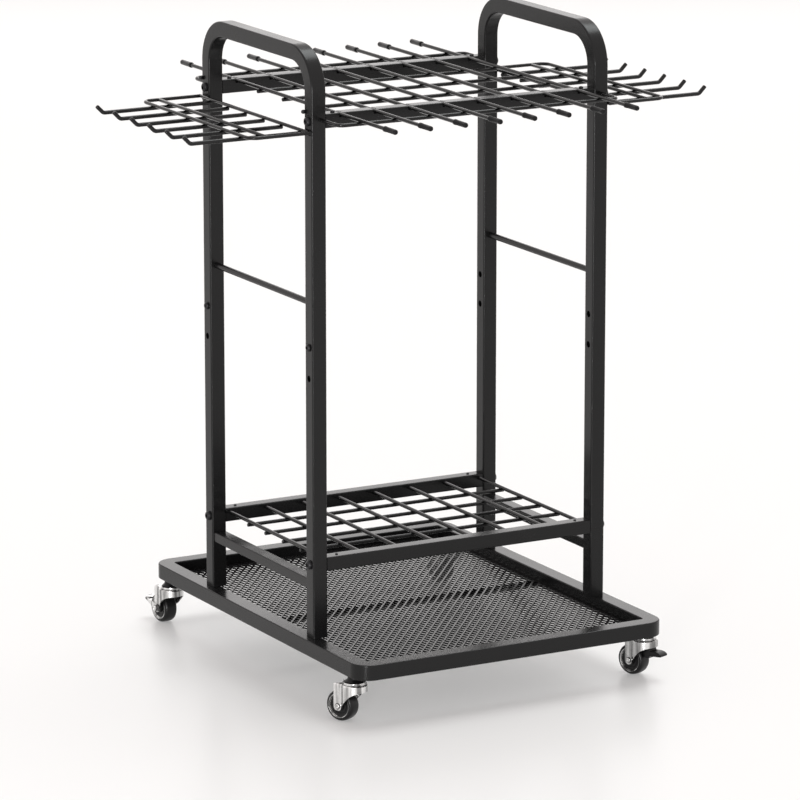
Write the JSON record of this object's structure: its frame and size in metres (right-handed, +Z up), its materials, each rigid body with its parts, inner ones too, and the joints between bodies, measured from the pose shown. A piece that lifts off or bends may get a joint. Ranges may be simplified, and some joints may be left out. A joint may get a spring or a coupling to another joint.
{
  "type": "garden tool cart",
  "caption": "Rolling rack for long garden tools: tube side frames with handles on a mesh tray, wire grids, side hooks and swivel casters.",
  "frame": {"origin": "on the floor, below the middle of the whole outline, brake pedals included", "axes": "+X to the right end as seen from the front, +Y to the back, +Z up"},
  "size_m": [0.7488, 0.5944, 0.825],
  "materials": {
    "black_powder_coat": "satin powder coat",
    "black_expanded_metal": "semi-gloss powder coat",
    "black_wire": "satin powder coat",
    "black_plastic_cap": "matt",
    "black_bolt": "black oxide",
    "zinc_plate": "bright zinc plate",
    "black_wheel": "semi-matt moulded"
  },
  "bodies": {
    "frame": {"tray_rim": "black_powder_coat", "tray_mesh": "black_expanded_metal", "mesh_support_bar": "black_powder_coat", "left_side_frame": "black_powder_coat", "right_side_frame": "black_powder_coat", "left_lower_crossbar": "black_powder_coat", "right_lower_crossbar": "black_powder_coat", "left_mid_rod": "black_powder_coat", "right_mid_rod": "black_powder_coat", "front_lower_rail": "black_powder_coat", "back_lower_rail": "black_powder_coat", "front_top_rail": "black_powder_coat", "back_top_rail": "black_powder_coat", "lower_grid": "black_wire", "top_grid": "black_wire", "left_hook_rack": "black_wire", "right_hook_rack": "black_wire", "front_wire_cap_1": "black_plastic_cap", "front_wire_cap_2": "black_plastic_cap", "front_wire_cap_3": "black_plastic_cap", "front_wire_cap_4": "black_plastic_cap", "front_wire_cap_5": "black_plastic_cap", "front_wire_cap_6": "black_plastic_cap", "front_wire_cap_7": "black_plastic_cap", "front_wire_cap_8": "black_plastic_cap", "back_wire_cap_1": "black_plastic_cap", "back_wire_cap_2": "black_plastic_cap", "back_wire_cap_3": "black_plastic_cap", "back_wire_cap_4": "black_plastic_cap", "back_wire_cap_5": "black_plastic_cap", "back_wire_cap_6": "black_plastic_cap", "back_wire_cap_7": "black_plastic_cap", "back_wire_cap_8": "black_plastic_cap", "front_left_lower_bolt": "black_bolt", "front_left_top_bolt": "black_bolt", "front_right_lower_bolt": "black_bolt", "front_right_top_bolt": "black_bolt", "back_left_lower_bolt": "black_bolt", "back_left_top_bolt": "black_bolt", "back_right_lower_bolt": "black_bolt", "back_right_top_bolt": "black_bolt", "front_left_caster_stem": "zinc_plate", "front_right_caster_stem": "zinc_plate", "back_left_caster_stem": "zinc_plate", "back_right_caster_stem": "zinc_plate"},
    "front_left_fork": {"front_left_caster_yoke": "zinc_plate", "front_left_axle": "zinc_plate"},
    "front_left_roller": {"front_left_wheel": "black_wheel"},
    "front_right_fork": {"front_right_caster_yoke": "zinc_plate", "front_right_axle": "zinc_plate"},
    "front_right_roller": {"front_right_wheel": "black_wheel"},
    "front_right_brake": {"front_right_brake_lever": "black_wheel"},
    "back_left_fork": {"back_left_caster_yoke": "zinc_plate", "back_left_axle": "zinc_plate"},
    "back_left_roller": {"back_left_wheel": "black_wheel"},
    "back_left_brake": {"back_left_brake_lever": "zinc_plate"},
    "back_right_fork": {"back_right_caster_yoke": "zinc_plate", "back_right_axle": "zinc_plate"},
    "back_right_roller": {"back_right_wheel": "black_wheel"}
  },
  "joints": [
    {"name": "front_left_swivel", "type": "hinge", "parent": "frame", "child": "front_left_fork", "pos_m": [-0.21, -0.2632, 0.05], "axis": [0, 0, 1], "continuous": true},
    {"name": "front_right_swivel", "type": "hinge", "parent": "frame", "child": "front_right_fork", "pos_m": [0.21, -0.2632, 0.05], "axis": [0, 0, 1], "continuous": true},
    {"name": "back_left_swivel", "type": "hinge", "parent": "frame", "child": "back_left_fork", "pos_m": [-0.21, 0.2448, 0.05], "axis": [0, 0, 1], "continuous": true},
    {"name": "back_right_swivel", "type": "hinge", "parent": "frame", "child": "back_right_fork", "pos_m": [0.21, 0.2448, 0.05], "axis": [0, 0, 1], "continuous": true},
    {"name": "front_left_roll", "type": "hinge", "parent": "front_left_fork", "child": "front_left_roller", "pos_m": [-0.21761, -0.24688, 0.02], "axis": [0.9063, 0.4226, 0], "continuous": true},
    {"name": "front_right_roll", "type": "hinge", "parent": "front_right_fork", "child": "front_right_roller", "pos_m": [0.20384, -0.24628, 0.02], "axis": [0.9397, 0.342, 0], "continuous": true},
    {"name": "back_left_roll", "type": "hinge", "parent": "back_left_fork", "child": "back_left_roller", "pos_m": [-0.21188, 0.2627, 0.02], "axis": [0.9945, 0.1045, 0], "continuous": true},
    {"name": "back_right_roll", "type": "hinge", "parent": "back_right_fork", "child": "back_right_roller", "pos_m": [0.20626, 0.26241, 0.02], "axis": [0.9781, 0.2079, 0], "continuous": true},
    {"name": "front_right_brake_pedal", "type": "hinge", "parent": "front_right_fork", "child": "front_right_brake", "pos_m": [0.21325, -0.27212, 0.044], "axis": [0.9397, 0.342, 0], "range_deg": [0, 11]},
    {"name": "back_left_brake_pedal", "type": "hinge", "parent": "back_left_fork", "child": "back_left_brake", "pos_m": [-0.21188, 0.2627, 0.02], "axis": [0.9945, 0.1045, 0], "range_deg": [-12, 0]}
  ]
}
